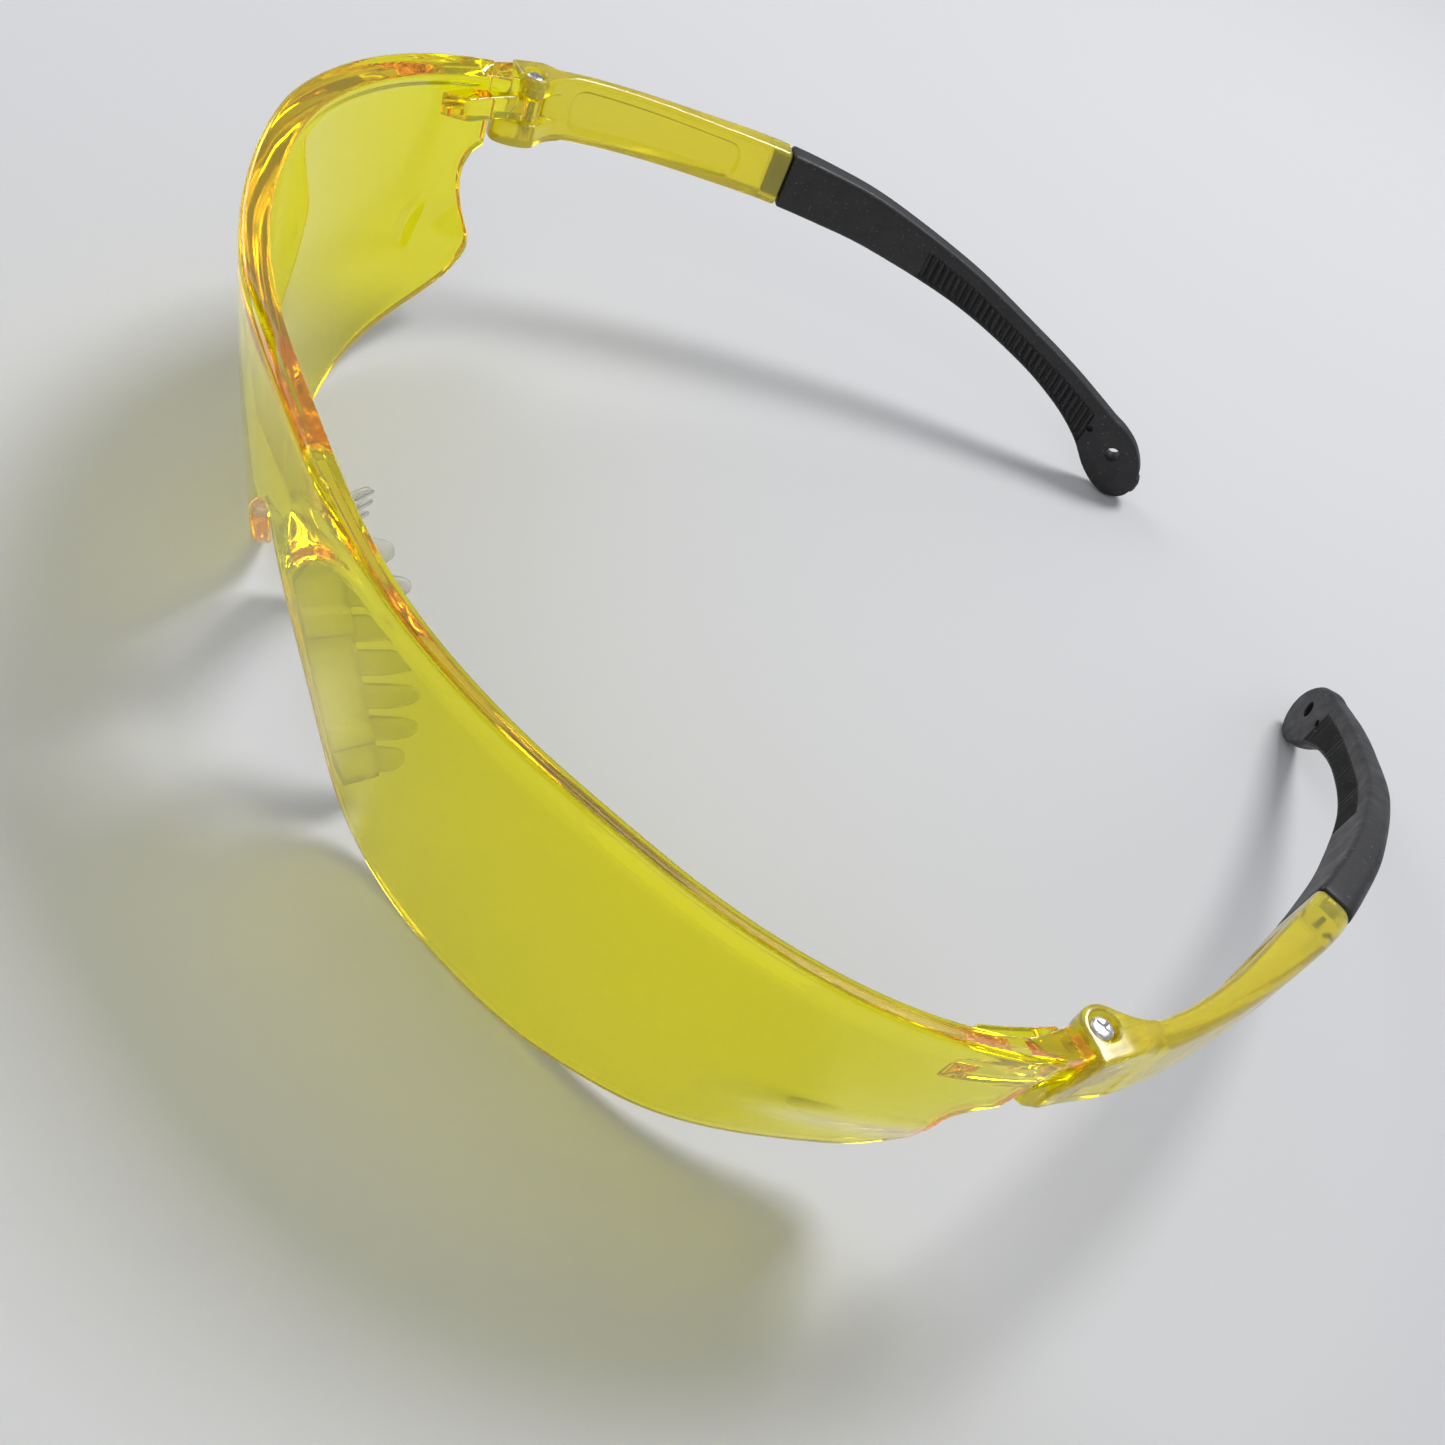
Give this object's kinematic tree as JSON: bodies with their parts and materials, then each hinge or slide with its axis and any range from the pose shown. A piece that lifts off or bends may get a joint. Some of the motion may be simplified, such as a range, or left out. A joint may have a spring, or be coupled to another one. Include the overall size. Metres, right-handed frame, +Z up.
{
  "type": "safety spectacles",
  "caption": "Wraparound safety spectacles: one curved amber lens with a brow rim, soft nose pads and two folding temples with rubber tips.",
  "frame": {"origin": "middle of the footprint, on the surface the open spectacles stand on", "axes": "+Z up, -Y the lens front, +Y towards the temple tips, +X the wearer's left"},
  "size_m": [0.1508, 0.1516, 0.0445],
  "materials": {
    "lens_amber": "clear glossy amber polycarbonate",
    "arm_yellow": "translucent yellow polycarbonate",
    "tip_rubber": "matt black rubber",
    "pad_soft": "clear soft rubber",
    "screw_steel": "bright plated steel"
  },
  "bodies": {
    "front": {"lens": "lens_amber", "nose_pad_left": "pad_soft", "nose_pad_right": "pad_soft"},
    "left_temple": {"temple_arm_left": "arm_yellow", "temple_tip_left": "tip_rubber", "hinge_screw_left": "screw_steel"},
    "right_temple": {"temple_arm_right": "arm_yellow", "temple_tip_right": "tip_rubber", "hinge_screw_right": "screw_steel"}
  },
  "joints": [
    {"name": "left_hinge", "type": "hinge", "parent": "front", "child": "left_temple", "pos_m": [0.0721, -0.02303, 0.031], "axis": [0, 0, 1], "range_deg": [0, 82]},
    {"name": "right_hinge", "type": "hinge", "parent": "front", "child": "right_temple", "pos_m": [-0.0721, -0.02303, 0.031], "axis": [0, 0, -1], "range_deg": [0, 70]}
  ]
}
